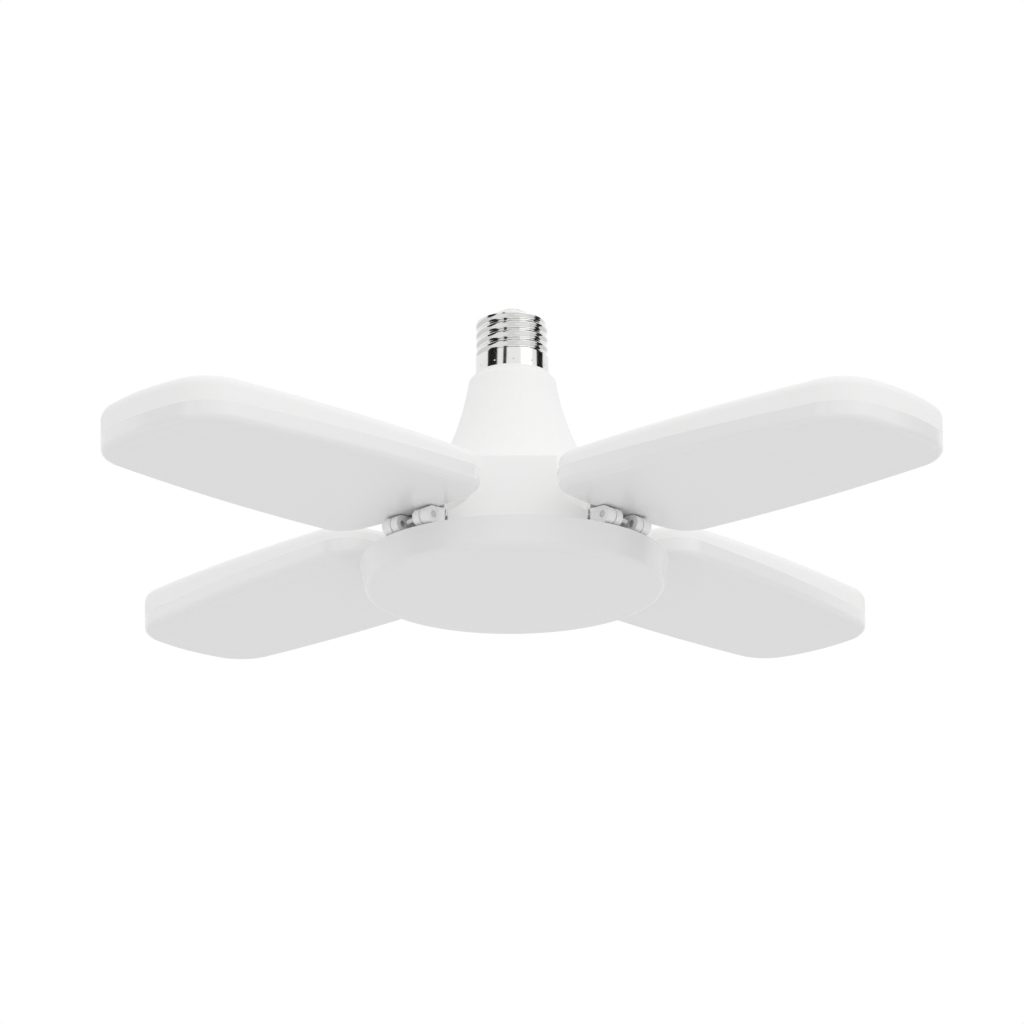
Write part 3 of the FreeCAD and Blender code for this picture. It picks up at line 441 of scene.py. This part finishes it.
class LAMP_OT_stage(bpy.types.Operator):
    """Set the floor, the studio light and the camera"""
    bl_idname = "lamp.stage"
    bl_label = "Stage"

    def execute(self, context):
        settings = context.scene.lamp_stage
        self.floor(settings)
        self.light(context, settings)
        self.camera(context, settings)
        return {"FINISHED"}

    def floor(self, settings):
        """A wide pale floor far below the hanging lamp, and dark cards for the metal."""
        pale = grained("pale_floor", (0.86, 0.86, 0.86), 0.01, 0.5, 0.004, (0.6, 0.7),
                       0.0001, PLAIN)
        height = settings.floor_height
        ground = flat_panel("floor", 80, 80, (0, 0, height), (0, 0, 0), pale)
        dark = grained("dark_card", (0.02, 0.02, 0.02), 0.1, 0.1, 0.01, (0.8, 0.9),
                       0.0001, {"Specular IOR Level": 0.0})
        cards = [
            flat_panel("left_card", 0.55, 2.2, (-0.80, -0.35, 0.3), (0, 0, 0), dark),
            flat_panel("middle_card", 0.22, 2.2, (-0.38, -0.85, 0.75), (0, 0, 0), dark),
            flat_panel("right_card", 0.45, 2.2, (0.85, 0.10, 0.3), (0, 0, 0), dark),
            flat_panel("upper_card", 2.4, 0.45, (0.0, -0.55, 0.95), (0, 0, 0), dark),
        ]
        for card in cards:
            card.visible_camera = False
            card.visible_diffuse = False
            card.visible_shadow = False

    def light(self, context, settings):
        """Even room light that the camera and reflections see as white, and a soft key."""
        world = bpy.data.worlds.new("Studio")
        context.scene.world = world
        world.use_nodes = True
        nodes = world.node_tree.nodes
        links = world.node_tree.links
        path = nodes.new("ShaderNodeLightPath")
        seen = nodes.new("ShaderNodeMath")
        seen.operation = "MAXIMUM"
        links.new(path.outputs["Is Camera Ray"], seen.inputs[0])
        links.new(path.outputs["Is Glossy Ray"], seen.inputs[1])
        clear = nodes.new("ShaderNodeMath")
        clear.operation = "MAXIMUM"
        links.new(seen.outputs["Value"], clear.inputs[0])
        links.new(path.outputs["Is Transmission Ray"], clear.inputs[1])
        strength = ranged(nodes, links, clear.outputs["Value"], settings.room_light, 1, 0, 1)
        background = nodes["Background"]
        background.inputs["Color"].default_value = (1, 1, 1, 1)
        links.new(strength, background.inputs["Strength"])
        soft_light("Key", (0.9, -0.9, 0.7), 0.9, settings.key_light)
        soft_light("Top", (0.2, -0.3, 1.2), 1.0, settings.key_light * 0.8)

    def camera(self, context, settings):
        """The photograph's point of view, from below and in front."""
        seam = Vector((0, 0, SEAM_HEIGHT))
        away = Vector((0, -math.cos(settings.camera_drop), -math.sin(settings.camera_drop)))
        away.rotate(Matrix.Rotation(-settings.camera_turn, 3, "Z"))
        focus = settings.pixels_per_metre * settings.camera_distance
        facing = (-away).to_track_quat("-Z", "Y").to_matrix()
        right = math.atan((IMAGE_SIDE / 2 - settings.seam_left) / focus)
        up = math.atan((settings.seam_down - IMAGE_SIDE / 2) / focus)
        facing = facing @ Matrix.Rotation(-right, 3, "Y") @ Matrix.Rotation(up, 3, "X")
        facing = facing @ Matrix.Rotation(settings.camera_roll, 3, "Z")
        data = bpy.data.cameras.new("Camera")
        data.sensor_width = SENSOR
        data.lens = SENSOR * focus / IMAGE_SIDE
        data.clip_start = 0.05
        eye = bpy.data.objects.new("Camera", data)
        eye.matrix_world = (Matrix.Translation(seam + away * settings.camera_distance)
                            @ facing.to_4x4())
        context.scene.collection.objects.link(eye)
        context.scene.camera = eye
        context.scene.view_settings.view_transform = "Standard"


class LAMP_PT_sidebar(bpy.types.Panel):
    """Lamp's pieces and stage"""
    bl_idname = "LAMP_PT_sidebar"
    bl_label = "Folding Lamp"
    bl_space_type = "VIEW_3D"
    bl_region_type = "UI"
    bl_category = "Lamp"

    def draw(self, context):
        for settings in (context.scene.lamp_finish, context.scene.lamp_stage):
            box = self.layout.box()
            for name in settings.__annotations__:
                box.prop(settings, name)
        for operator in OPERATORS:
            self.layout.operator(operator.bl_idname)


OPERATORS = (LAMP_OT_screw_cap, LAMP_OT_neck, LAMP_OT_hub, LAMP_OT_round_light,
             LAMP_OT_blades, LAMP_OT_inner_parts, LAMP_OT_stage)
CLASSES = (LampFinishSettings, LampStageSettings, *OPERATORS, LAMP_PT_sidebar)


def register():
    for item in CLASSES:
        bpy.utils.register_class(item)
    bpy.types.Scene.lamp_finish = bpy.props.PointerProperty(type=LampFinishSettings)
    bpy.types.Scene.lamp_stage = bpy.props.PointerProperty(type=LampStageSettings)


def unregister():
    del bpy.types.Scene.lamp_stage
    del bpy.types.Scene.lamp_finish
    for item in reversed(CLASSES):
        bpy.utils.unregister_class(item)


def main():
    register()
    bpy.ops.lamp.screw_cap()
    bpy.ops.lamp.neck()
    bpy.ops.lamp.hub()
    bpy.ops.lamp.round_light()
    bpy.ops.lamp.blades()
    bpy.ops.lamp.inner_parts()
    bpy.ops.lamp.stage()


if __name__ == "__main__":
    main()
